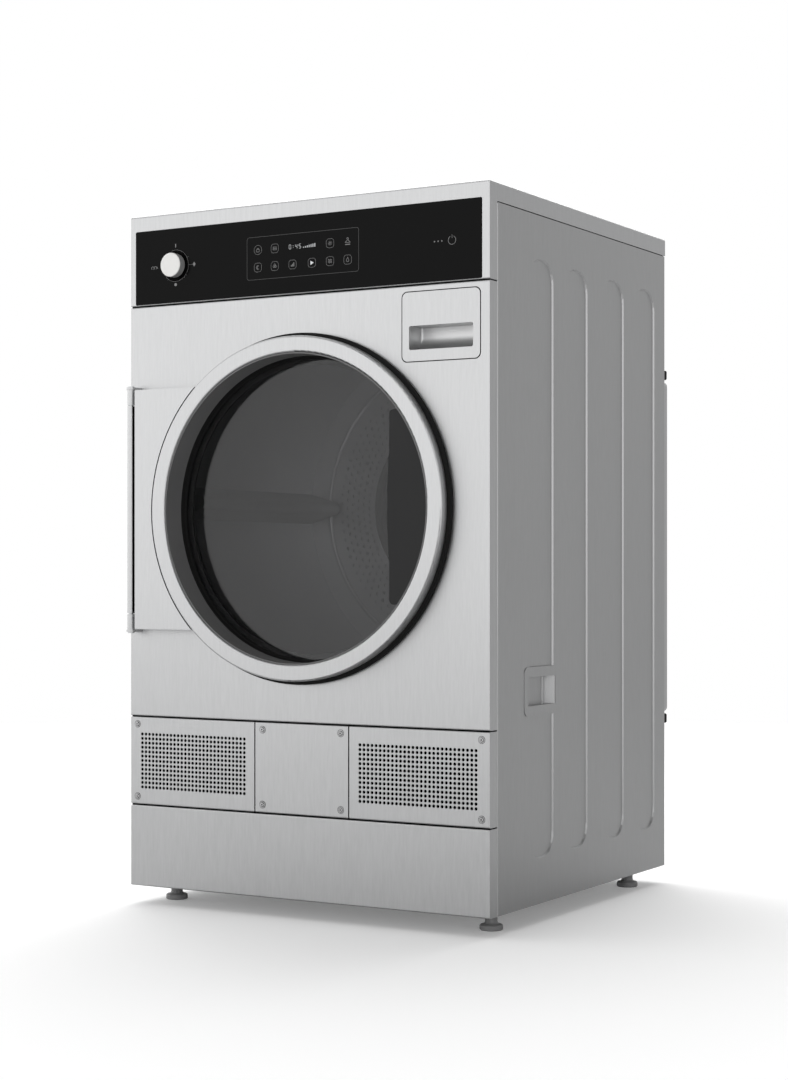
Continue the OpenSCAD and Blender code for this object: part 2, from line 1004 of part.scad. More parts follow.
// Grip plate across the free side of the recess; fingers reach behind its straight edge
module door_grip() {
    half_h = 152;
    corner = 7;
    color(dark_grey)
        placed()
            facing(grip_plate_y, grip_plate_t)
                intersection() {
                    translate([door_x, door_z])
                        circle(r = liner_in_r - 0.1, $fn = 240);
                    union() {
                        translate([grip_plate_x + corner, door_z - half_h])
                            square([100, 2 * half_h]);
                        translate([grip_plate_x, door_z - half_h + corner])
                            square([100, 2 * (half_h - corner)]);
                        for (side = [-1, 1])
                            translate([grip_plate_x + corner, door_z + side * (half_h - corner)])
                                circle(r = corner, $fn = 48);
                        intersection() {
                            translate([grip_plate_x + grip_bow_r - 4, door_z])
                                circle(r = grip_bow_r, $fn = 360);
                            translate([grip_plate_x - 10, door_z - 90])
                                square([60, 180]);
                        }
                    }
                }
}

// ---- Opening, bulkheads and seals ----

// Short duct from the front panel to the bulkhead, with a slot for the lint filter
module door_throat() {
    wall = 1.5;
    color(galvanised)
        placed()
            difference() {
                turned(door_x, door_z) {
                    translate([panel_hole_r + 3, sheet + 0.1])
                        square([wall, bulkhead_y - sheet - 0.2]);
                    translate([panel_hole_r, sheet + 0.1])
                        square([14, wall]);
                }
                block([-filter_half - 3, filter_y - 2, 300], [filter_half + 3, filter_y + filter_t + 2, 420]);
                magnet_places()
                    rod(0, -2, 0, 5.2, 12);
            }
}

module front_bulkhead() {
    color(galvanised)
        placed()
            facing(bulkhead_y, 1.5)
                difference() {
                    translate([-(half_w - 15), 300])
                        square([2 * (half_w - 15), 700]);
                    translate([door_x, door_z])
                        circle(r = bulkhead_hole_r, $fn = 240);
                    translate([drawer_x - 70, drawer_z - 56])
                        square([138, 112]);
                }
}

// Felt ring that the drum's front lip runs in
module front_seal() {
    color([0.5, 0.48, 0.42])
        placed()
            turned(0, drum_z)
                translate([271, bulkhead_y + 1.6])
                    square([22, drum_front - bulkhead_y - 2.2]);
}

// Wall behind the drum with the hot-air holes
module rear_bulkhead() {
    color(galvanised)
        placed()
            facing(rear_wall_y, 1.5)
                difference() {
                    translate([-(half_w - 15), 300])
                        square([2 * (half_w - 15), 700]);
                    translate([0, drum_z])
                        circle(r = 40.2, $fn = 96);
                    for (i = [0:9])
                        translate([215 * cos(i * 36 + 18), drum_z + 215 * sin(i * 36 + 18)])
                            circle(r = 44, $fn = 72);
                }
}

module bearing_housing() {
    color([0.5, 0.5, 0.52])
        placed()
            difference() {
                union() {
                    rod(0, rear_wall_y - 4, drum_z, 40, 60);
                    rod(0, rear_wall_y + 1.6, drum_z, 62, 8);
                    for (a = [0:60:300])
                        translate([0, 0, drum_z])
                            rotate([0, a, 0])
                                block([36, rear_wall_y + 1.6, -4], [130, rear_wall_y + 30, 4]);
                }
                rod(0, rear_wall_y - 10, drum_z, bearing_r, 80);
            }
}

// Two bearings that carry the drum's shaft
module shaft_bearings() {
    color([0.7, 0.7, 0.72])
        placed()
            for (y = [rear_wall_y, rear_wall_y + 36])
                difference() {
                    rod(0, y, drum_z, bearing_r, 16);
                    rod(0, y - 1, drum_z, shaft_bore, 18);
                }
}

// Two axles with flanges on the front bulkhead
module roller_axles() {
    color(galvanised)
        placed()
            for (x = [-roller_x, roller_x]) {
                rod(x, bulkhead_y + 1.6, roller_z, axle_r, roller_y + roller_w + 6 - bulkhead_y - 1.6);
                rod(x, bulkhead_y + 1.6, roller_z, 14, 5);
                rod(x, roller_y - 3, roller_z, 9, 2.5);
            }
}

module roller(x) {
    placed()
        difference() {
            rod(x, roller_y, roller_z, roller_r, roller_w);
            rod(x, roller_y - 1, roller_z, axle_bore, roller_w + 2);
            turned(x, roller_z)
                translate([11, roller_y - 1])
                    square([8, 5]);
            turned(x, roller_z)
                translate([11, roller_y + roller_w - 4])
                    square([8, 5]);
        }
}

module roller_left() {
    color(dark_grey)
        roller(-roller_x);
}

module roller_right() {
    color(dark_grey)
        roller(roller_x);
}

// ---- Drum ----

module drum_shell() {
    color(steel)
        placed() {
            turned(0, drum_z)
                polygon([[262, drum_front], [drum_out_r, drum_front], [drum_out_r, drum_back_y],
                         [drum_r, drum_back_y], [drum_r, drum_front + 1.5], [262, drum_front + 1.5]]);
        }
}

hole_ring_r = 183;
hole_ring_step = 12;
hole_rings = 6;
holes_per_ring = 90;

// Back wall with a pressed bead and a perforated band
module drum_back() {
    color(steel)
        placed() {
            difference() {
                facing(drum_back_y + 0.05, 1.5)
                    difference() {
                        translate([0, drum_z])
                            circle(r = drum_out_r, $fn = 240);
                        translate([0, drum_z])
                            for (ring = [0:hole_rings - 1], i = [0:holes_per_ring - 1])
                                rotate((i + ring / 2) * 360 / holes_per_ring)
                                    translate([hole_ring_r + ring * hole_ring_step, 0])
                                        circle(r = 3.5, $fn = 16);
                    }
            }
            turned(0, drum_z)
                intersection() {
                    translate([271, drum_back_y + 0.5])
                        circle(r = 4, $fn = 48);
                    translate([260, drum_back_y - 5])
                        square([20, 5.5]);
                }
        }
}

lifter_foot = 29;
lifter_tip_r = 13;

// Cross-section of a lifter, at three o'clock; inset gives the hollow inside
module lifter_outline(inset) {
    tip_x = drum_r - lifter_h + lifter_tip_r;
    tip_r = lifter_tip_r - inset;
    intersection() {
        circle(r = drum_r - 0.1 - inset, $fn = 240);
        union() {
            translate([tip_x, 0])
                circle(r = tip_r, $fn = 72);
            polygon([[tip_x, -tip_r], [drum_r + 2, -lifter_foot + inset],
                     [drum_r + 2, lifter_foot - inset], [tip_x, tip_r]]);
        }
    }
}

// Three hollow lifters, one at nine o'clock at rest
module drum_lifters() {
    wall = 2.5;
    len = drum_back_y - drum_front - 16;
    color(steel)
        placed()
            for (a = [60, 180, 300])
                translate([0, drum_front + 8, drum_z])
                    rotate([-90, 0, 0])
                        rotate(a)
                            difference() {
                                linear_extrude(len)
                                    lifter_outline(0);
                                translate([0, 0, wall])
                                    linear_extrude(len - 2 * wall)
                                        lifter_outline(wall);
                            }
}

// Dark round cover over the middle of the back wall
module drum_hub() {
    r = hole_ring_r - 12;
    y = drum_back_y;
    color(dark_grey)
        placed()
            turned(0, drum_z)
                polygon([[0, y - 26], [r - 34, y - 26], [r - 26, y - 24], [r - 19, y - 19],
                         [r, y - 3], [r, y - 0.05], [r - 6, y - 0.05], [r - 24, y - 18],
                         [r - 34, y - 23], [0, y - 23]]);
}

// Shaft with the three-armed spider behind the back wall
module drum_shaft() {
    spider_t = 10;
    y0 = drum_back_y + 1.7;
    color(galvanised)
        placed() {
            rod(0, y0, drum_z, shaft_r, rear_wall_y + 58 - y0);
            rod(0, y0, drum_z, 50, spider_t);
            for (a = [30, 150, 270])
                translate([0, 0, drum_z])
                    rotate([0, a, 0])
                        block([40, y0, -14], [186, y0 + spider_t, 14]);
        }
}

// ---- Drive ----

module motor_body() {
    y0 = 340;
    y1 = 480;
    color(dark_grey)
        placed()
            difference() {
                union() {
                    rod(motor_x, y0, motor_z, 56, y1 - y0);
                    rod(motor_x, y0 - 8, motor_z, 26, y1 - y0 + 16);
                    for (a = [15:30:345])
                        translate([motor_x, 0, motor_z])
                            rotate([0, a, 0])
                                block([50, y0 + 12, -2], [62, y1 - 12, 2]);
                    for (x = [-45, 45])
                        block([motor_x + x - 8, y0 + 20, 2.2], [motor_x + x + 8, y1 - 20, motor_z - 30]);
                    block([motor_x - 66, y0 + 10, 2.2], [motor_x + 66, y1 - 10, 8]);
                }
                rod(motor_x, y0 - 20, motor_z, motor_shaft_bore, y1 - y0 + 40);
            }
}

fan_y0 = 560;
fan_y1 = 636;
fan_r = 84;

// Shaft with the belt pulley in front and the fan wheel behind
module motor_rotor() {
    blades = 20;
    color(galvanised)
        placed() {
            rod(motor_x, belt_y - 10, motor_z, motor_shaft_r, fan_y1 - 12 - belt_y + 10);
            difference() {
                rod(motor_x, belt_y - 3, motor_z, pulley_r + 3, belt_w + 6);
                turned(motor_x, motor_z)
                    translate([pulley_r, belt_y - 0.6])
                        square([10, belt_w + 1.2]);
            }
            rod(motor_x, fan_y1 - 16, motor_z, fan_r, 2);
            rod(motor_x, fan_y1 - 30, motor_z, 18, 16);
            turned(motor_x, motor_z)
                translate([fan_r - 14, fan_y0 + 12])
                    square([14, 2]);
            for (i = [0:blades - 1])
                translate([motor_x, 0, motor_z])
                    rotate([0, i * 360 / blades, 0])
                        translate([fan_r - 13, 0, 0])
                            rotate([0, 25, 0])
                                block([0, fan_y0 + 12, -0.8], [13, fan_y1 - 15, 0.8]);
        }
}

// Scroll housing that blows up into the space behind the drum
module fan_housing() {
    out_r = fan_r + 12;
    wall = 2;
    color(dark_grey)
        placed()
            difference() {
                union() {
                    rod(motor_x, fan_y0 - 2, motor_z, out_r + wall, fan_y1 - fan_y0 + 4);
                    block([motor_x - 10, fan_y0 - 2, motor_z], [motor_x + out_r + wall, fan_y1 + 2, 320]);
                }
                rod(motor_x, fan_y0, motor_z, out_r, fan_y1 - fan_y0);
                block([motor_x - 8, fan_y0, motor_z], [motor_x + out_r, fan_y1, 330]);
                rod(motor_x, fan_y0 - 10, motor_z, 60, 20);
            }
}

// Outline of the belt's inner or outer edge: two pulleys and their outer tangents
module belt_outline(grow) {
    big = drum_out_r + belt_gap + grow;
    small = pulley_r + belt_gap + grow;
    dx = motor_x;
    dz = motor_z - drum_z;
    dir = atan2(dz, dx);
    lean = acos((big - small) / norm([dx, dz]));
    translate([0, drum_z])
        circle(r = big, $fn = 240);
    translate([motor_x, motor_z])
        circle(r = small, $fn = 96);
    polygon([for (p = [[0, big, -1], [1, small, -1], [1, small, 1], [0, big, 1]])
        [p[0] * dx + p[1] * cos(dir + p[2] * lean), drum_z + p[0] * dz + p[1] * sin(dir + p[2] * lean)]]);
}

module drive_belt() {
    color(black)
        placed()
            facing(belt_y, belt_w)
                difference() {
                    belt_outline(belt_t);
                    belt_outline(0);
                }
}

// ---- Heat pump ----

// Two finned coils with their tubes
module heat_exchanger() {
    color([0.75, 0.76, 0.78])
        placed()
            for (y0 = [160, 330]) {
                for (x = [duct_x0 + 12:9:duct_x1 - 12])
                    block([x, y0, duct_z0 + 6], [x + 0.8, y0 + 130, duct_z1 - 8]);
                for (y = [y0 + 25, y0 + 65, y0 + 105], z = [duct_z0 + 40, duct_z0 + 100, duct_z0 + 160])
                    translate([duct_x0 + 6, y, z])
                        rotate([0, 90, 0])
                            cylinder(r = 5, h = duct_x1 - duct_x0 - 12, $fn = 32);
            }
}

// Duct: forward box under the lint filter, coil tunnel and chamber in front of the fan
module coil_duct() {
    fan_face = fan_y0 - 2.2;
    color(galvanised)
        placed()
            difference() {
                union() {
                    block([duct_x0 - duct_t, 64, duct_z0 - duct_t], [duct_x1 + duct_t, fan_face, duct_z1 + duct_t]);
                    block([duct_x0 - duct_t, 64, duct_z0 - duct_t], [filter_half + 6, 128, 166]);
                    block([duct_x0 - duct_t, 500, duct_z0 - duct_t], [motor_x + 90, fan_face, duct_z1 + duct_t]);
                }
                block([duct_x0, 64 + duct_t, duct_z0], [duct_x1, fan_face - duct_t, duct_z1]);
                block([duct_x0, 64 + duct_t, duct_z0], [filter_half + 6 - duct_t, 128 - duct_t, 166 - duct_t]);
                block([duct_x0, 500 + duct_t, duct_z0], [motor_x + 90 - duct_t, fan_face - duct_t, duct_z1]);
                block([-filter_half, 66, 160], [filter_half, 100, 180]);
                block([-filter_foot_x, 60, 166.8], [filter_foot_x, 100.2, 184.2]);
                rod(motor_x, fan_face - 10, motor_z, 60, 20);
                rod(motor_x, 490, motor_z, 10, 20);
            }
}

module compressor() {
    x = 30;
    y = 400;
    color(black)
        placed() {
            translate([x, y, 14])
                rotate_extrude($fn = 96)
                    polygon([[0, 0], [54, 0], [58, 6], [58, 120], [52, 140], [38, 152], [18, 158], [0, 158]]);
            translate([x, y, 2.2])
                for (a = [30, 150, 270])
                    rotate(a)
                        block([30, -14, 0], [76, 14, 12]);
            translate([x - 20, y + 20, 150])
                cylinder(r = 5, h = 40, $fn = 32);
        }
}

// ---- Lint filter ----

filter_half = 105;
filter_y = 45;
filter_t = 10;
filter_z0 = 175;
filter_z1 = 374;

// Narrow pocket under the throat: open above, and below into the duct
module filter_housing() {
    x = filter_half + 1.5;
    y0 = filter_y - 1.5;
    y1 = bulkhead_y - 1;
    t = 1.5;
    color(dark_grey)
        placed()
            difference() {
                union() {
                    block([-x - t, y0 - t, 167], [x + t, y1, 390]);
                    block([-x - t, y0 - t, 167], [x + t, 100, 184]);
                }
                block([-x, y0, 172], [x, y1 - t, 400]);
                block([-x, y0 + 18, 160], [x, 100 - t, 182]);
                block([-x, y0, 172], [x, 80, 182]);
                rod(door_x, -20, door_z, panel_hole_r + 5, 150);
            }
}

// Framed screen with a tab at the top
module lint_filter() {
    color(dark_grey)
        placed()
            difference() {
                union() {
                    block([-filter_half, filter_y, filter_z0], [filter_half, filter_y + filter_t, 350]);
                    block([-26, filter_y + 2, 340], [26, filter_y + filter_t - 2, filter_z1 - 10]);
                }
                for (i = [0:5])
                    block([-filter_half + 6 + i * 34, filter_y - 1, filter_z0 + 8],
                          [-filter_half + 36 + i * 34, filter_y + 4, 340]);
                for (i = [0:5])
                    block([-filter_half + 6 + i * 34, filter_y + 5, filter_z0 + 8],
                          [-filter_half + 36 + i * 34, filter_y + filter_t + 1, 340]);
            }
}

// ---- Drawer ----

module tank_outline(grow) {
    polygon([[tank_x0 - grow, tank_step_z - grow * 0.6], [tank_x1 + grow, tank_z0 - grow * 1.2],
             [tank_x1 + grow, tank_z1 + grow], [tank_x0 - grow, tank_z1 + grow]]);
}

// Sheet sleeve that the water tank slides in
module drawer_sleeve() {
    color(galvanised)
        placed()
            difference() {
                facing(64, tank_y1 - 54)
                    tank_outline(sleeve_gap + sleeve_t);
                facing(60, tank_y1 - 54 + 2)
                    tank_outline(sleeve_gap);
            }
}

module drawer_front() {
    color(steel)
        placed()
            difference() {
                union() {
                    facing(-0.3, 1.5)
                        translate([drawer_x, drawer_z])
                            rounded(drawer_w, drawer_h, 9);
                    facing(0.5, 9)
                        translate([drawer_x, drawer_z])
                            difference() {
                                rounded(drawer_w - 1, drawer_h - 1, 8.5);
                                rounded(drawer_w - 4, drawer_h - 4, 7);
                            }
                }
                facing(-2, 4)
                    translate([drawer_x, slot_z])
                        rounded(113.4, 37.4, 3);
            }
}

// Scooped grip with a lip above it
module drawer_cup() {
    deep = 38;
    scoop_r = 22;
    side_r = 4;
    x0 = drawer_x - 56.6;
    x1 = drawer_x + 56.6;
    z0 = slot_z - 18.6;
    z1 = slot_z + 18.6;
    color(steel)
        placed()
            difference() {
                block([x0 - 3, 1.3, z0 - 3], [x1 + 3, deep + 3, z1 + 3]);
                difference() {
                    block([x0, 0, z0], [x1, deep, z1]);
                    difference() {
                        block([x0 - 1, deep - scoop_r, z0 - 1], [x1 + 1, deep + 1, z0 + scoop_r]);
                        translate([x0 - 2, deep - scoop_r, z0 + scoop_r])
                            rotate([0, 90, 0])
                                cylinder(r = scoop_r, h = x1 - x0 + 4, $fn = 96);
                    }
                    difference() {
                        block([x0 - 1, deep - side_r, z0 - 1], [x0 + side_r, deep + 1, z1 + 1]);
                        translate([x0 + side_r, deep - side_r, z0 - 2])
                            cylinder(r = side_r, h = z1 - z0 + 4, $fn = 48);
                    }
                }
            }
}

// Closed water tank with a filling hole and its cap
module water_tank() {
    cap_y = 420;
    color([0.8, 0.82, 0.84])
        placed() {
            difference() {
                facing(tank_y0, tank_y1 - tank_y0)
                    tank_outline(0);
                facing(tank_y0 + tank_t, tank_y1 - tank_y0 - 2 * tank_t)
                    tank_outline(-tank_t);
            }
            block([drawer_x - 50, 41.2, drawer_z - 30], [drawer_x + 50, tank_y0, drawer_z + 30]);
        }
}

base_pan();
foot_pads();
foot_studs();
top_cover();
front_panel();
side_panel_left();
side_panel_right();
side_grips();
rear_panel();
rear_cover();
rear_buffers();
plinth_panel();
grilles();
service_cover();
panel_screws();
control_glass();
control_board();
dial_collar();
terminal_box();
drain_spigot();
hinge_brackets();
hinge_pin();
door_magnets();
door_throat();
front_bulkhead();
front_seal();
rear_bulkhead();
bearing_housing();
shaft_bearings();
roller_axles();
motor_body();
drive_belt();
fan_housing();
heat_exchanger();
coil_duct();
compressor();
drawer_sleeve();
filter_housing();
door_ring();
hinge_strap();
hinge_leaf();
door_back_plate();
door_liner();
door_seal();
door_pane();
door_gasket();
door_grip();
drum_shell();
drum_back();
drum_lifters();
drum_hub();
drum_shaft();
roller_left();
roller_right();
motor_rotor();
dial_knob();
drawer_front();
drawer_cup();
water_tank();
lint_filter();
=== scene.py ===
"""Free-standing tumble dryer: looks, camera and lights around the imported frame. Metres."""

import json
import math

import bmesh
import bpy
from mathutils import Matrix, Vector


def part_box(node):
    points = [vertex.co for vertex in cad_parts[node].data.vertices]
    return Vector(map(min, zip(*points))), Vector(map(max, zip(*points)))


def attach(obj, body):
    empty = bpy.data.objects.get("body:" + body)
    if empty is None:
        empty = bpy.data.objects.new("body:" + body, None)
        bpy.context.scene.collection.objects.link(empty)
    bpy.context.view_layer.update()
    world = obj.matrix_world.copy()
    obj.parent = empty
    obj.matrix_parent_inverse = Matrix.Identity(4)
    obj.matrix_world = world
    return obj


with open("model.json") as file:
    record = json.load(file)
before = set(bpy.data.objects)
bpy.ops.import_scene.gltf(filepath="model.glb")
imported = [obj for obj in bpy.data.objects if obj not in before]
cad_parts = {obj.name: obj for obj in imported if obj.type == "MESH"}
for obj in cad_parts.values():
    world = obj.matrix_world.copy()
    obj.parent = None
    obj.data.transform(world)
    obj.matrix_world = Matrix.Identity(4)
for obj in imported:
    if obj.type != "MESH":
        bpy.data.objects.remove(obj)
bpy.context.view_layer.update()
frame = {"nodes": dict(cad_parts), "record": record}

MM = 0.001
nodes = frame["nodes"]
scene = bpy.context.scene


# ---- Camera: level, a little below the middle of the door, from the front right ----

CAMERA_YAW = math.radians(30.473)
CAMERA_SPOT = Vector((1.8219, -3.137, 0.5645))
CAMERA_LENS = 69.137
CAMERA_SENSOR = 36.0
CAMERA_RISE = 0.0274  # upward shift of the picture, in widths of the sensor


def make_camera():
    data = bpy.data.cameras.new("camera")
    data.lens = CAMERA_LENS
    data.sensor_width = CAMERA_SENSOR
    data.shift_y = CAMERA_RISE
    camera = bpy.data.objects.new("camera", data)
    scene.collection.objects.link(camera)
    camera.location = CAMERA_SPOT
    camera.rotation_euler = (math.pi / 2, 0, CAMERA_YAW)
    scene.camera = camera


make_camera()


# ---- Node materials ----


class Shader:
    """A node material with one Principled shader, and short calls that add nodes to it."""

    def __init__(self, name, **sockets):
        self.material = bpy.data.materials.new(name)
        self.material.use_nodes = True
        self.tree = self.material.node_tree
        self.bsdf = self.tree.nodes["Principled BSDF"]
        for socket, value in sockets.items():
            self.bsdf.inputs[socket.replace("_", " ")].default_value = value

    def add(self, kind, **values):
        node = self.tree.nodes.new(kind)
        for key, value in values.items():
            if key in node.inputs:
                node.inputs[key].default_value = value
            else:
                setattr(node, key, value)
        return node

    def link(self, out, into):
        self.tree.links.new(out, into)

    def place(self, stretch):
        """Object coordinates, stretched along each axis."""
        coordinates = self.add("ShaderNodeTexCoord")
        mapping = self.add("ShaderNodeMapping")
        mapping.inputs["Scale"].default_value = stretch
        self.link(coordinates.outputs["Object"], mapping.inputs["Vector"])
        return mapping.outputs["Vector"]

    def noise(self, stretch, detail=2.0, roughness=0.5):
        """Noise in metres: stretch is how many waves it has in a metre along each axis."""
        texture = self.add("ShaderNodeTexNoise", Scale=1.0, Detail=detail, Roughness=roughness)
        self.link(self.place(stretch), texture.inputs["Vector"])
        return texture.outputs["Fac"]

    def scaled(self, value, low, high, start=0.25, end=0.75):
        """A value between start and end, mapped to low to high."""
        mapped = self.add("ShaderNodeMapRange")
        for socket, number in (("From Min", start), ("From Max", end), ("To Min", low), ("To Max", high)):
            mapped.inputs[socket].default_value = number
        self.link(value, mapped.inputs["Value"])
        return mapped.outputs["Result"]

    def sum(self, *values):
        total = values[0]
        for value in values[1:]:
            node = self.add("ShaderNodeMath", operation="ADD")
            self.link(total, node.inputs[0])
            self.link(value, node.inputs[1])
            total = node.outputs[0]
        return total

    def tint(self, dark, light, amount):
        """Colour between dark and light, by amount from 0 to 1."""
        mix = self.add("ShaderNodeMix", data_type="RGBA")
        mix.inputs[6].default_value = (*dark, 1.0)
        mix.inputs[7].default_value = (*light, 1.0)
        self.link(amount, mix.inputs[0])
        self.link(mix.outputs[2], self.bsdf.inputs["Base Color"])

    def rough(self, value):
        self.link(value, self.bsdf.inputs["Roughness"])

    def bump(self, height, strength, distance):
        bump = self.add("ShaderNodeBump", Strength=strength, Distance=distance)
        self.link(height, bump.inputs["Height"])
        self.link(bump.outputs["Normal"], self.bsdf.inputs["Normal"])


WHITE = (1.0, 1.0, 1.0)


def shade(colour, factor):
    return tuple(c * factor for c in colour)


def brushed(name, colour, rough, contrast=0.09):
    """Sheet brushed up and down: fine streaks, broad faint bands and soft smears."""
    shader = Shader(name, Metallic=1.0)
    hair = shader.noise((900.0, 900.0, 70.0), detail=2.0)
    grain = shader.noise((320.0, 320.0, 28.0), detail=4.0, roughness=0.7)
    bands = shader.noise((120.0, 120.0, 1.6), detail=3.0)
    smears = shader.noise((3.1, 3.1, 2.3), detail=3.0)
    amount = shader.sum(
        shader.scaled(grain, 0.0, 0.58, 0.3, 0.7),
        shader.scaled(bands, 0.0, 0.07, 0.3, 0.7),
        shader.scaled(smears, 0.0, 0.14, 0.3, 0.7),
    )
    shader.tint(shade(colour, 1 - contrast), shade(colour, 1 + contrast), amount)
    polish = shader.scaled(grain, rough - 0.05, rough + 0.03)
    shader.rough(shader.sum(polish, shader.scaled(smears, -0.02, 0.03)))
    shader.bump(hair, 0.3, 0.00006)
    return shader.material


def galvanised(name, colour=(0.52, 0.53, 0.54), rough=0.42):
    """Zinc-coated sheet with faint spangles."""
    shader = Shader(name, Metallic=1.0)
    spangle = shader.add("ShaderNodeTexVoronoi", Scale=1.0)
    shader.link(shader.place((110.0, 110.0, 110.0)), spangle.inputs["Vector"])
    patch = shader.add("ShaderNodeRGBToBW")
    shader.link(spangle.outputs["Color"], patch.inputs[0])
    cloud = shader.noise((14.0, 14.0, 14.0), detail=4.0)
    amount = shader.sum(shader.scaled(patch.outputs[0], 0.0, 0.5, 0.0, 1.0), shader.scaled(cloud, 0.0, 0.5))
    shader.tint(shade(colour, 0.86), shade(colour, 1.1), amount)
    shader.rough(shader.scaled(patch.outputs[0], rough - 0.07, rough + 0.08, 0.0, 1.0))
    return shader.material


def moulded(name, colour, rough=0.5, grain=900.0, depth=0.00005, variation=0.08, shine=0.5):
    """Moulded plastic or rubber: a fine spark-eroded skin with faint dust."""
    shader = Shader(name, Specular_IOR_Level=shine)
    skin = shader.noise((grain, grain, grain), detail=3.0, roughness=0.6)
    dust = shader.noise((9.0, 9.0, 9.0), detail=4.0)
    shader.tint(shade(colour, 1 - variation), shade(colour, 1 + variation), shader.scaled(dust, 0.0, 1.0))
    polish = shader.scaled(dust, rough - 0.04, rough + 0.04)
    shader.rough(shader.sum(polish, shader.scaled(skin, -0.03, 0.03)))
    shader.bump(skin, 0.35, depth)
    return shader.material


def cast(name, colour, rough=0.45, metallic=1.0):
    """Cast or painted metal with a slightly pebbled face."""
    shader = Shader(name, Metallic=metallic)
    pebble = shader.noise((420.0, 420.0, 420.0), detail=4.0, roughness=0.55)
    cloud = shader.noise((12.0, 12.0, 12.0), detail=3.0)
    shader.tint(shade(colour, 0.88), shade(colour, 1.08), shader.scaled(cloud, 0.0, 1.0))
    shader.rough(shader.scaled(pebble, rough - 0.06, rough + 0.06))
    shader.bump(pebble, 0.4, 0.00012)
    return shader.material


def gloss_black(name, level=0.0041, shine=0.05):
    """Back-printed glass or lacquer: nearly black, with a faint haze from wiping."""
    shader = Shader(name, IOR=1.5, Specular_IOR_Level=shine)
    haze = shader.noise((7.0, 3.0, 5.0), detail=4.0)
    dark, light = shade((1, 1, 1.02), level * 0.94), shade(WHITE, level * 1.06)
    shader.tint(dark, light, shader.scaled(haze, 0.0, 1.0))
    shader.rough(shader.scaled(haze, 0.10, 0.17))
    return shader.material


def two_tone(name, first, second, axis, edge, blend=0.4 * MM, rough=0.42, **sockets):
    """One colour below an edge along an axis and another above it, with a fine skin."""
    shader = Shader(name, **sockets)
    split = shader.add("ShaderNodeSeparateXYZ")
    shader.link(shader.place((1.0, 1.0, 1.0)), split.inputs[0])
    side = shader.scaled(split.outputs[axis], 0.0, 1.0, edge - blend, edge + blend)
    skin = shader.noise((700.0, 700.0, 700.0), detail=3.0)
    shader.tint(first, second, side)
    shader.rough(shader.scaled(skin, rough - 0.06, rough + 0.06))
    shader.bump(skin, 0.2, 0.00003)
    return shader.material


def smoke_glass(name):
    """Tinted door glass that lets a little of the drum show."""
    shader = Shader(name, IOR=1.37, Transmission_Weight=1.0)
    haze = shader.noise((5.0, 5.0, 5.0), detail=3.0)
    shader.tint((0.36, 0.36, 0.365), (0.39, 0.39, 0.395), shader.scaled(haze, 0.0, 1.0))
    shader.rough(shader.scaled(haze, 0.0, 0.012))
    return shader.material


def printed(name, colour, glow=0.0):
    """Screen-printed ink, or a lit legend when it glows."""
    shader = Shader(name, Roughness=0.55)
    speckle = shader.noise((1500.0, 1500.0, 1500.0), detail=2.0)
    shader.tint(shade(colour, 0.9), shade(colour, 1.05), shader.scaled(speckle, 0.0, 1.0))
    if glow:
        shader.bsdf.inputs["Emission Color"].default_value = (*colour, 1.0)
        shader.bsdf.inputs["Emission Strength"].default_value = glow
    return shader.material


def felted(name, colour):
    """Dense wool felt."""
    shader = Shader(name, Sheen_Weight=0.4)
    fibre = shader.noise((700.0, 700.0, 700.0), detail=5.0, roughness=0.7)
    shader.tint(shade(colour, 0.75), shade(colour, 1.15), shader.scaled(fibre, 0.0, 1.0))
    shader.rough(shader.scaled(fibre, 0.86, 0.98))
    shader.bump(fibre, 0.8, 0.0004)
    return shader.material


def board(name):
    """Green solder mask with a woven ghost."""
    shader = Shader(name, Roughness=0.35)
    weave = shader.noise((380.0, 380.0, 380.0), detail=1.0)
    shader.tint((0.012, 0.10, 0.045), (0.02, 0.16, 0.07), shader.scaled(weave, 0.0, 1.0))
    return shader.material


STEEL = (0.50, 0.503, 0.507)
SLOT_MATERIALS = {
    "brushed_steel": brushed("brushed_steel", STEEL, 0.42),
    # The side panels' brushed steel is made darker than the front's: painted shade on the sides
    "side_steel": brushed("side_steel", (0.42, 0.422, 0.425), 0.42),
    "galvanised_steel": galvanised("galvanised_steel"),
    "black_glass": gloss_black("black_glass"),
    "tinted_glass": smoke_glass("tinted_glass"),
    "black_rubber": moulded("black_rubber", (0.006, 0.006, 0.006), 0.7, grain=600.0, shine=0.15),
    "dark_plastic": moulded("dark_plastic", (0.032, 0.032, 0.033), 0.5),
    "white_plastic": moulded("white_plastic", (0.78, 0.77, 0.74), 0.34, variation=0.02),
    "tank_plastic": moulded("tank_plastic", (0.62, 0.64, 0.66), 0.4, variation=0.04),
    "circuit_board": board("circuit_board"),
    "felt": felted("felt", (0.21, 0.19, 0.155)),
    "coil_aluminium": cast("coil_aluminium", (0.62, 0.63, 0.65), 0.4),
    "cast_aluminium": cast("cast_aluminium", (0.50, 0.50, 0.51), 0.5),
    "bearing_steel": cast("bearing_steel", (0.6, 0.6, 0.62), 0.22),
    "motor_paint": cast("motor_paint", (0.025, 0.025, 0.027), 0.5, metallic=0.0),
}
# Near-black for the painted shadow on the hinge leaf
SHADOW_BLACK = (0.004, 0.004, 0.004)
LEAF_SHADOW_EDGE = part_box("hinge_leaf")[0].x + 11.8 * MM  # steel up to this, black past it: painted shadow of the gap beside the strap, on the leaf and a strip of the barrel's flank
KNOB_CAP_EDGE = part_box("dial_knob")[0].y + 1.6 * MM  # the knob's cap is this thick; the side behind it is painted grey as painted shade
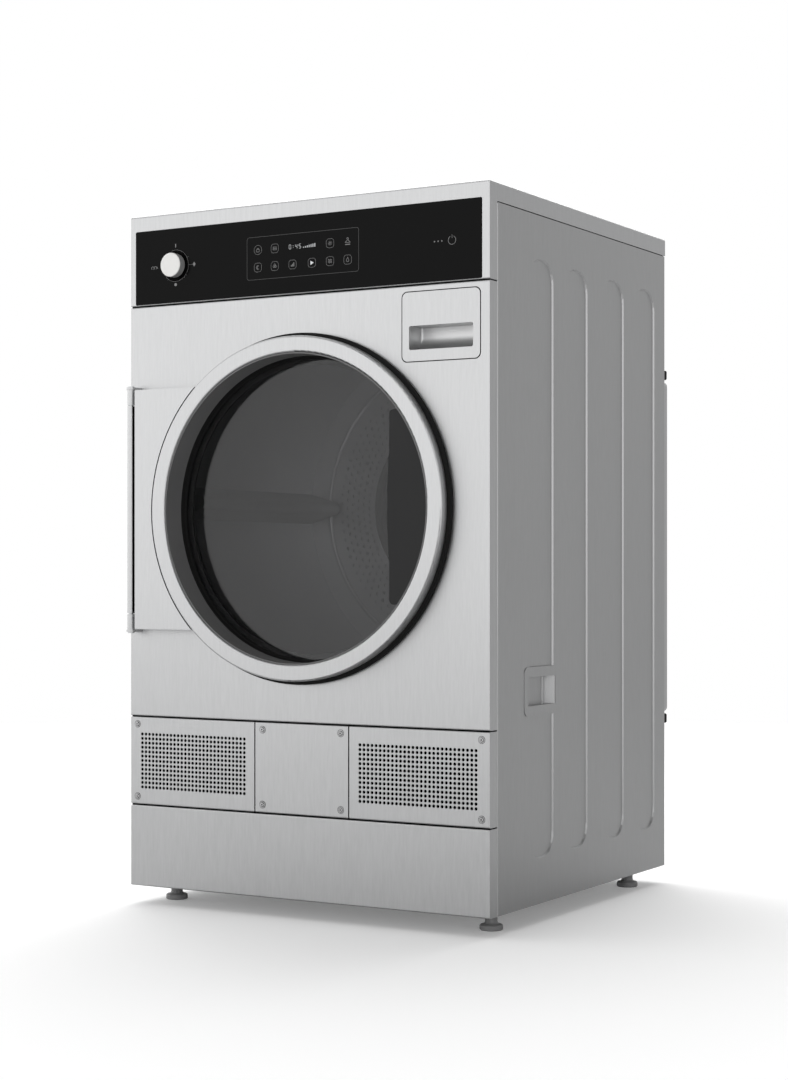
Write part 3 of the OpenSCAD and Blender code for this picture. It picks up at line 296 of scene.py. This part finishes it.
NODE_MATERIALS = {
    # The knob's grey side behind its off-white cap is painted shade
    "dial_knob": two_tone(
        "knob_plastic_painted_shade", (0.76, 0.755, 0.74), (0.25, 0.25, 0.25), "Y", KNOB_CAP_EDGE
    ),
    # Painted shadow: the hinge leaf and a strip of its barrel are black where the gap beside the strap is
    # in shade
    "hinge_leaf": two_tone(
        "hinge_leaf_painted_shadow", STEEL, SHADOW_BLACK, "X", LEAF_SHADOW_EDGE, blend=0.2 * MM, Metallic=1.0
    ),
    "dial_collar": gloss_black("collar_lacquer", level=0.0012, shine=0.02),
    "door_grip": moulded("grip_plate", (0.014, 0.014, 0.0145), 0.55, shine=0.25),
    "door_liner": moulded("liner_plastic", (0.14, 0.14, 0.141), 0.5, shine=0.35),
    "foot_pads": moulded("foot_polyamide", (0.24, 0.24, 0.242), 0.5, shine=0.4),
    "foot_studs": cast("foot_stud", (0.45, 0.45, 0.45), 0.4),
    "panel_screws": cast("screw_steel", (0.52, 0.52, 0.525), 0.35),
    # The drawer's recess is brushed steel made lighter than the front's: painted light on the recess
    "drawer_cup": brushed("cup_steel_painted_light", (0.56, 0.562, 0.565), 0.42, contrast=0.04),
}
INK = printed("grey_ink", (0.21, 0.21, 0.21))
FRAME_INK = printed("frame_ink", (0.075, 0.075, 0.075))
LIT = printed("lit_legend", (0.55, 0.56, 0.57), glow=0.25)
# Near-black foam for sheets behind the grilles, the seams and the drawer gap: painted shade
SHADE_FOAM = moulded("shade_foam", (0.0025, 0.0025, 0.0025), 0.9, grain=500.0, depth=0.0004, shine=0.02)


def finish_nodes():
    for part in frame["record"]["subparts"]:
        node = part["node"]
        mesh = nodes[node].data
        mesh.materials.clear()
        mesh.materials.append(NODE_MATERIALS.get(node) or SLOT_MATERIALS[part["material_slot"]])


finish_nodes()


# ---- Pieces ----


def piece(name, mesh, material, body, smooth_angle=None):
    """Adds a mesh as a named piece that rides on a body."""
    mesh.materials.append(material)
    made = bpy.data.objects.new(name, mesh)
    scene.collection.objects.link(made)
    if smooth_angle is not None:
        for polygon in mesh.polygons:
            polygon.use_smooth = True
        mesh.set_sharp_from_angle(angle=math.radians(smooth_angle))
    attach(made, body)
    return made


def mesh_from(name, bm):
    bmesh.ops.recalc_face_normals(bm, faces=bm.faces[:])
    mesh = bpy.data.meshes.new(name)
    bm.to_mesh(mesh)
    bm.free()
    return mesh


def rounded_outline(width, height, corner, steps=10):
    """Closed outline of a rounded rectangle about the origin, in millimetres."""
    points = []
    for quarter, (sx, sz) in enumerate(((1, 1), (-1, 1), (-1, -1), (1, -1))):
        for i in range(steps + 1):
            a = math.radians(90 * quarter + 90 * i / steps)
            x = sx * (width / 2 - corner) + corner * math.cos(a)
            z = sz * (height / 2 - corner) + corner * math.sin(a)
            points.append((x, z))
    return points


class Print:
    """Flat marks on a face, drawn in millimetres in the X-Z plane about a place in metres."""

    def __init__(self, surface_y, thickness=0.12 * MM):
        self.bm = bmesh.new()
        self.y = surface_y
        self.t = thickness

    def plate(self, points, origin):
        """A filled convex outline."""
        y = self.y - self.t
        front = [self.bm.verts.new((origin[0] + x * MM, y, origin[1] + z * MM)) for x, z in points]
        back = [self.bm.verts.new((v.co.x, self.y, v.co.z)) for v in front]
        self.bm.faces.new(front)
        self.bm.faces.new(back[::-1])
        for i in range(len(front)):
            j = (i + 1) % len(front)
            self.bm.faces.new((front[i], front[j], back[j], back[i]))

    def line(self, points, origin, width, closed=False):
        """A stroke of the given width through the points, as one mitred band."""
        count = len(points)
        sides = []
        for i, point in enumerate(points):
            before = points[i - 1] if closed or i else point
            after = points[(i + 1) % count] if closed or i < count - 1 else point
            into = (Vector(point) - Vector(before)).normalized() if before != point else None
            away = (Vector(after) - Vector(point)).normalized() if after != point else None
            into, away = into or away, away or into
            normal = Vector((-(into + away).y, (into + away).x)).normalized()
            reach = width / 2 / max(0.4, normal.dot(Vector((-into.y, into.x))))
            sides.append((Vector(point) + normal * reach, Vector(point) - normal * reach))
        for i in range(count if closed else count - 1):
            j = (i + 1) % count
            corners = (sides[i][0], sides[j][0], sides[j][1], sides[i][1])
            self.plate([tuple(corner) for corner in corners], origin)

    def arc(self, radius, start, end, origin, width, steps=48, centre=(0, 0)):
        """A stroke along part of a circle, angles in degrees from +X towards +Z."""
        full = abs(end - start) >= 360
        turn = [math.radians(start + (end - start) * i / steps) for i in range(steps + (0 if full else 1))]
        points = [(centre[0] + radius * math.cos(a), centre[1] + radius * math.sin(a)) for a in turn]
        self.line(points, origin, width, closed=full)

    def disc(self, radius, origin, centre=(0, 0), steps=24):
        turn = [2 * math.pi * i / steps for i in range(steps)]
        points = [(centre[0] + radius * math.cos(a), centre[1] + radius * math.sin(a)) for a in turn]
        self.plate(points, origin)

    def rounded_frame(self, width, height, corner, origin, line_width, steps=6):
        self.line(rounded_outline(width, height, corner, steps), origin, line_width, closed=True)

    def done(self, name, material):
        return piece(name, mesh_from(name, self.bm), material, "cabinet")


# Pictograms, each drawn about the place "at" with strokes w wide


def icon_waves(marks, at, w):
    for level in (-2.2, 0.0, 2.2):
        marks.line([(0.9 * i - 3.6, level + 0.7 * math.sin(i * math.pi / 2)) for i in range(9)], at, w)


def icon_bars(marks, at, w):
    for i, height in enumerate((2.4, 4.2, 6.4)):
        marks.line([(2.4 * (i - 1), -3.2), (2.4 * (i - 1), -3.2 + height)], at, 1.3)


def icon_sun(marks, at, w):
    marks.arc(1.6, 0, 360, at, w, 16)
    for i in range(8):
        a = i * math.pi / 4
        marks.line([(2.5 * math.cos(a), 2.5 * math.sin(a)), (3.7 * math.cos(a), 3.7 * math.sin(a))], at, w)


def icon_lock(marks, at, w):
    marks.rounded_frame(5.4, 4.2, 0.8, (at[0], at[1] - 1.2 * MM), w, 3)
    marks.arc(1.7, 0, 180, at, w, 12, centre=(0, 1.0))


def icon_drop(marks, at, w):
    marks.arc(2.3, -210, 30, at, w, 18, centre=(0, -1.1))
    marks.line([(-1.99, 0.05), (0, 3.6), (1.99, 0.05)], at, w)


def icon_fan(marks, at, w):
    for i in range(3):
        a = math.radians(120 * i + 90)
        middle = (1.9 * math.cos(a), 1.9 * math.sin(a))
        marks.arc(1.5, 0, 360, at, w, 14, centre=middle)


def icon_moon(marks, at, w):
    marks.arc(3.0, 50, 310, at, w, 24)
    marks.arc(2.6, 75, 285, at, w, 20, centre=(1.3, 0))


def icon_grid(marks, at, w):
    for i in (-1, 0, 1):
        marks.line([(-3, 2.3 * i), (3, 2.3 * i)], at, w)
    marks.line([(-3, -2.8), (-3, 2.8)], at, w)
    marks.line([(3, -2.8), (3, 2.8)], at, w)


def icon_start(marks, at, w):
    marks.plate([(-2.6, -3.4), (3.6, 0), (-2.6, 3.4)], at)


def icon_hanger(marks, at, w):
    marks.line([(-5, -1.4), (0, 3.2), (5, -1.4)], at, w)
    marks.line([(-5, -1.4), (5, -1.4)], at, w)
    marks.arc(1.5, -60, 200, at, w, 14, centre=(0, 4.6))
    marks.line([(-4.6, -4.4), (4.6, -4.4)], at, 1.2)


SEGMENTS = {
    "top": ((-1, 2), (1, 2)),
    "upper_left": ((-1, 2), (-1, 0)),
    "upper_right": ((1, 2), (1, 0)),
    "middle": ((-1, 0), (1, 0)),
    "lower_left": ((-1, 0), (-1, -2)),
    "lower_right": ((1, 0), (1, -2)),
    "bottom": ((-1, -2), (1, -2)),
}
DIGITS = {
    "0": ("top", "upper_left", "upper_right", "lower_left", "lower_right", "bottom"),
    "4": ("upper_left", "upper_right", "middle", "lower_right"),
    "5": ("top", "upper_left", "middle", "lower_right", "bottom"),
}


def digit(marks, figure, at, half, width):
    """A seven-segment figure: half is half its width and a quarter of its height."""
    for name in DIGITS[figure]:
        (x0, z0), (x1, z1) = SEGMENTS[name]
        start, end = Vector((x0 * half, z0 * half)), Vector((x1 * half, z1 * half))
        gap = (end - start).normalized() * 0.45
        marks.line([tuple(start + gap), tuple(end - gap)], at, width)


# The printed touch panel, in millimetres from the middle of the control glass
PANEL_SHIFT = 3.4
PANEL_DROP = -0.8
PANEL_SIZE = (213.8, 69.3)
KEYS_SHIFT = 3.8
UPPER_ROW = 13.6
LOWER_ROW = -15.0
OUTER_KEY = 86
INNER_KEY = 53
KEY_SIZE = (14.2, 14.4, 4.6)  # width, height and corner radius
KEY_LINE = 0.4
LOCK_RING = 7.5
POWER_SHIFT = 279
SCALE_RADIUS = 26.3  # of the ring printed round the dial


def control_marks():
    low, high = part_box("control_glass")
    knob_low, knob_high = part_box("dial_knob")
    dial = ((knob_low.x + knob_high.x) / 2, (knob_low.z + knob_high.z) / 2)
    face = low.y + 0.01 * MM
    middle_x, middle_z = (low.x + high.x) / 2, (low.z + high.z) / 2
    ink = Print(face)
    lit = Print(face)

    # The dial's scale
    ink.arc(SCALE_RADIUS, -140, 110, dial, 0.3, 72)
    for angle, length in ((28, 3.4), (-38, 2.6), (-48, 2.6), (-125, 2.6)):
        a = math.radians(angle)
        ends = (SCALE_RADIUS, SCALE_RADIUS + length)
        ink.line([(r * math.cos(a), r * math.sin(a)) for r in ends], dial, 0.3)
    ink.line([(27, 0), (35, 0)], dial, 0.35)
    ink.plate([(35.2, 0), (38.0, 4.0), (40.8, 0), (38.0, -4.0)], dial)
    ink.plate([(-0.7, 30.5), (0.7, 30.5), (1.0, 36.5), (-1.0, 36.5)], dial)
    ink.disc(2.6, dial, centre=(0, -31.5))
    for x in (-47.5, -42.0):
        ink.arc(2.5, -60, 240, dial, 0.7, 18, centre=(x, -0.6))
    ink.line([(-39, 1.5), (-37, -2.5)], dial, 0.7)

    # The touch panel: a thin frame, keys with pictograms and a time display
    frame_ink = Print(face)
    panel_z = middle_z + PANEL_DROP * MM
    frame_ink.rounded_frame(*PANEL_SIZE, 4.0, (middle_x + PANEL_SHIFT * MM, panel_z), 0.5)

    def place(x, row):
        return (middle_x + (KEYS_SHIFT + x) * MM, panel_z + row * MM)

    keys = [
        (-OUTER_KEY, UPPER_ROW, icon_lock),
        (-INNER_KEY, UPPER_ROW, icon_grid),
        (INNER_KEY, UPPER_ROW, icon_sun),
        (-OUTER_KEY, LOWER_ROW, icon_moon),
        (-INNER_KEY, LOWER_ROW, icon_fan),
        (-18.5, LOWER_ROW, icon_bars),
        (INNER_KEY, LOWER_ROW, icon_waves),
        (OUTER_KEY, LOWER_ROW, icon_drop),
    ]
    for x, row, icon in keys:
        at = place(x, row)
        if icon is icon_lock:  # the only round key
            ink.arc(LOCK_RING, 0, 360, at, KEY_LINE, 36)
        else:
            ink.rounded_frame(*KEY_SIZE, at, KEY_LINE)
        icon(ink, at, 0.6)
    icon_hanger(ink, place(OUTER_KEY, UPPER_ROW), 0.7)
    start_key = place(18.5, LOWER_ROW)
    ink.rounded_frame(*KEY_SIZE, start_key, KEY_LINE)
    icon_start(lit, start_key, 0.8)
    display = (middle_x + PANEL_SHIFT * MM, panel_z + UPPER_ROW * MM)
    for x, figure in ((-23, "0"), (-11, "4"), (-4, "5")):
        digit(lit, figure, (display[0] + x * MM, display[1]), half=1.7, width=0.65)
    for z in (-1.4, 1.4):
        lit.disc(0.5, display, centre=(-17, z), steps=10)
    for i in range(7):
        lit.line([(3 + 3.6 * i, -3.3), (3 + 3.6 * i, -1.6 + 0.7 * i)], display, 1.3)

    # A plain power ring at the right, with three small lamps before it
    power = (middle_x + POWER_SHIFT * MM, middle_z)
    ink.arc(6.6, -245, 65, power, 0.65, 36)
    ink.line([(0, 3.0), (0, 8.6)], power, 0.65)
    for i in range(3):
        ink.disc(1.1, power, centre=(-31 + 6.5 * i, 0), steps=16)

    ink.done("panel_print", INK)
    frame_ink.done("panel_frame", FRAME_INK)
    lit.done("panel_display", LIT)


control_marks()


def grille_shade_mat(side):
    """Painted shade: a near-black waffled sheet behind a grille, so that the holes look into black."""
    low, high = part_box("grilles")
    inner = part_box("service_cover")[1].x + 6 * MM
    outer = high.x - 14 * MM
    bottom, top = low.z + 9 * MM, high.z - 9 * MM
    front, cell = low.y + 3.5 * MM, 6 * MM
    columns, rows = int((outer - inner) / cell), int((top - bottom) / cell)
    bm = bmesh.new()
    grid = []
    for i in range(columns + 1):
        row = []
        for j in range(rows + 1):
            dip = 1.2 * MM if (i + j) % 2 else 0.0
            row.append(bm.verts.new((side * (inner + i * cell), front + dip, bottom + j * cell)))
        grid.append(row)
    faces = [
        bm.faces.new((grid[i][j], grid[i + 1][j], grid[i + 1][j + 1], grid[i][j + 1]))
        for i in range(columns)
        for j in range(rows)
    ]
    body = bmesh.ops.extrude_face_region(bm, geom=faces)
    for item in body["geom"]:
        if isinstance(item, bmesh.types.BMVert):
            item.co.y = front + 6 * MM
    name = "grille_shade_mat_right" if side > 0 else "grille_shade_mat_left"
    piece(name, mesh_from(name, bm), SHADE_FOAM, "cabinet")


def loft(name, rings, material, body, smooth_angle=None):
    """Closed band through rings of points (x, y, z) that all have the same count."""
    bm = bmesh.new()
    made = [[bm.verts.new(point) for point in ring] for ring in rings]
    count = len(made[0])
    for i, ring in enumerate(made):
        after = made[(i + 1) % len(made)]
        for j in range(count):
            k = (j + 1) % count
            bm.faces.new((ring[j], ring[k], after[k], after[j]))
    return piece(name, mesh_from(name, bm), material, body, smooth_angle)


def drawer_gap_shade():
    """Painted shade: a black frame behind the gap round the drawer front, so that the gap looks dark."""
    low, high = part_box("drawer_front")
    middle = (low + high) / 2
    width, height = (high.x - low.x) / MM, (high.z - low.z) / MM
    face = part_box("front_panel")[0].y
    rings = []
    for grow, y in ((0.5, 1.7), (6.0, 1.7), (6.0, 4.2), (0.9, 4.6)):
        outline = rounded_outline(width + 2 * grow, height + 2 * grow, 9.0 + grow)
        rings.append([(middle.x + x * MM, face + y * MM, middle.z + z * MM) for x, z in outline])
    loft("drawer_gap_shade_frame", rings, SHADE_FOAM, "cabinet")


def screw_shade_marks():
    """Painted shade: dark rings round the heads of the panel screws, and a dark rim and a dark recess on
    each head.
    """
    low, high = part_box("panel_screws")
    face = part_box("grilles")[0].y
    flange = face - 0.62 * MM
    head = 5.5 * MM
    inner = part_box("service_cover")[1].x - 14 * MM
    rim_shadows = Print(face)
    head_shade = Print(flange)
    for x in (low.x + head, high.x - head, -inner, inner):
        for z in (low.z + head, high.z - head):
            rim_shadows.arc(5.75, 0, 360, (x, z), 0.6, 32)
            head_shade.arc(3.8, 0, 360, (x, z), 0.6, 24)
            head_shade.disc(1.35, (x, z), steps=12)
    head_shade.done("screw_head_shade", SLOT_MATERIALS["black_rubber"])
    rim_shadows.done("screw_rim_shadows", SLOT_MATERIALS["black_rubber"])


def seam_shade_cords():
    """Painted shade: black cords in the seams of the front, so that no light comes through them and the
    seams look black.
    """
    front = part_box("front_panel")
    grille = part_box("grilles")
    gaps = (
        ("fascia", front[1].z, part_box("top_cover")[0].z),
        ("grille", grille[1].z, front[0].z),
        ("plinth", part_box("plinth_panel")[1].z, grille[0].z),
    )
    reach = front[1].x - 0.9 * MM
    # Section of a cord: depth behind the front in millimetres, height in halves of the gap
    profile = ((2.6, -1), (2.2, 0), (2.6, 1), (9.0, 1), (9.4, 0), (9.0, -1))
    for name, low, high in gaps:
        half = (high - low) / 2 - 0.02 * MM
        bm = bmesh.new()
        ends = []
        for x in (-reach, -reach + 1.5 * MM, reach - 1.5 * MM, reach):
            squash = 0.6 if abs(x) == reach else 1.0
            points = [(x, front[0].y + y * MM, (low + high) / 2 + z * half * squash) for y, z in profile]
            ends.append([bm.verts.new(point) for point in points])
        for ring, after in zip(ends, ends[1:]):
            for i in range(len(profile)):
                j = (i + 1) % len(profile)
                bm.faces.new((ring[i], ring[j], after[j], after[i]))
        bm.faces.new(ends[0])
        bm.faces.new(ends[-1][::-1])
        cord = "seam_shade_cord_" + name
        piece(cord, mesh_from(cord, bm), SHADE_FOAM, "cabinet")


grille_shade_mat(-1)
grille_shade_mat(1)
seam_shade_cords()
drawer_gap_shade()
screw_shade_marks()


# ---- Floor and light ----

FLOOR_RADIUS = 4.2
FLOOR_SEEN = 0.87  # the floor's paint as the camera sees it
FLOOR_LIT = 0.54  # and as it lights the object
FLOOR_GLOW = 0.18
STUDIO_FRONT = Vector((0.14, -0.99, 0.0))  # the brightest wall
STUDIO_SIDES = (0.56, 1.81)  # the walls, from the darkest to the brightest
STUDIO_HIGH_SHARE = 0.18  # how much of that is left high up
STUDIO_BACK = Vector((-0.75, 0.5, 0.7))  # the bright part of the ceiling
STUDIO_CEILING = 1.1
DRUM_LAMP = 0.14  # watts
DRUM_LAMP_SIZE = 0.36


def make_floor():
    bm = bmesh.new()
    bmesh.ops.create_circle(bm, cap_ends=True, radius=FLOOR_RADIUS, segments=96)
    mesh = mesh_from("studio_floor", bm)
    shader = Shader("floor_paint", Roughness=0.9, Specular_IOR_Level=0.1)
    seen = shader.add("ShaderNodeLightPath").outputs["Is Camera Ray"]
    shader.tint(shade(WHITE, FLOOR_LIT), shade(WHITE, FLOOR_SEEN), seen)
    shader.bsdf.inputs["Emission Color"].default_value = (*WHITE, 1.0)
    shader.link(shader.scaled(seen, 0.0, FLOOR_GLOW, 0.0, 1.0), shader.bsdf.inputs["Emission Strength"])
    mesh.materials.append(shader.material)
    floor = bpy.data.objects.new("studio_floor", mesh)
    scene.collection.objects.link(floor)


def soft_light(name, spot, target, size, watts):
    data = bpy.data.lights.new(name, "AREA")
    data.shape = "RECTANGLE"
    data.size, data.size_y = size
    data.energy = watts
    light = bpy.data.objects.new(name, data)
    scene.collection.objects.link(light)
    light.location = spot
    light.rotation_euler = (Vector(target) - Vector(spot)).to_track_quat("-Z", "Y").to_euler()
    return light


def make_world():
    """A studio that is white to the camera and lights the object from the front and from above."""
    world = bpy.data.worlds.new("studio")
    world.use_nodes = True
    tree = world.node_tree
    tree.nodes.clear()

    def ramp(value, start, end, low, high):
        node = tree.nodes.new("ShaderNodeMapRange")
        node.interpolation_type = "SMOOTHSTEP"
        for socket, number in (("From Min", start), ("From Max", end), ("To Min", low), ("To Max", high)):
            node.inputs[socket].default_value = number
        tree.links.new(value, node.inputs["Value"])
        return node.outputs["Result"]

    def combine(operation, first, second):
        node = tree.nodes.new("ShaderNodeMath")
        node.operation = operation
        tree.links.new(first, node.inputs[0])
        tree.links.new(second, node.inputs[1])
        return node.outputs[0]

    def along(axis):
        node = tree.nodes.new("ShaderNodeVectorMath")
        node.operation = "DOT_PRODUCT"
        node.inputs[1].default_value = axis.normalized()
        tree.links.new(direction, node.inputs[0])
        return node.outputs["Value"]

    direction = tree.nodes.new("ShaderNodeTexCoord").outputs["Generated"]
    height = along(Vector((0, 0, 1)))
    walls = ramp(along(STUDIO_FRONT), -0.7, 1.0, *STUDIO_SIDES)
    walls = combine("MULTIPLY", walls, ramp(height, 0.18, 0.55, 1.0, STUDIO_HIGH_SHARE))
    ceiling = ramp(along(STUDIO_BACK), 0.1, 0.95, 0.0, STUDIO_CEILING)
    level = combine("ADD", walls, ceiling)
    lit = tree.nodes.new("ShaderNodeBackground")
    lit.inputs["Color"].default_value = (*WHITE, 1.0)
    tree.links.new(level, lit.inputs["Strength"])
    seen = tree.nodes.new("ShaderNodeBackground")
    seen.inputs["Color"].default_value = (*WHITE, 1.0)
    seen.inputs["Strength"].default_value = 1.0
    paths = tree.nodes.new("ShaderNodeLightPath")
    mix = tree.nodes.new("ShaderNodeMixShader")
    tree.links.new(paths.outputs["Is Camera Ray"], mix.inputs["Fac"])
    tree.links.new(lit.outputs[0], mix.inputs[1])
    tree.links.new(seen.outputs[0], mix.inputs[2])
    output = tree.nodes.new("ShaderNodeOutputWorld")
    tree.links.new(mix.outputs[0], output.inputs["Surface"])
    scene.world = world


def drum_lamp():
    """The drum's own lamp: soft light from behind the throat onto the drum's back."""
    low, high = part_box("drum_shell")
    middle = (low + high) / 2
    spot = (middle.x, low.y + 40 * MM, middle.z)
    back = (middle.x, high.y, middle.z)
    light = soft_light("drum_lamp", spot, back, (DRUM_LAMP_SIZE, DRUM_LAMP_SIZE), DRUM_LAMP)
    light.data.shape = "DISK"


make_floor()
make_world()
drum_lamp()
soft_light("overhead", (-0.9, 1.6, 3.4), (0, 0, 0.2), (3.6, 3.0), 88)
scene.view_settings.view_transform = "Standard"
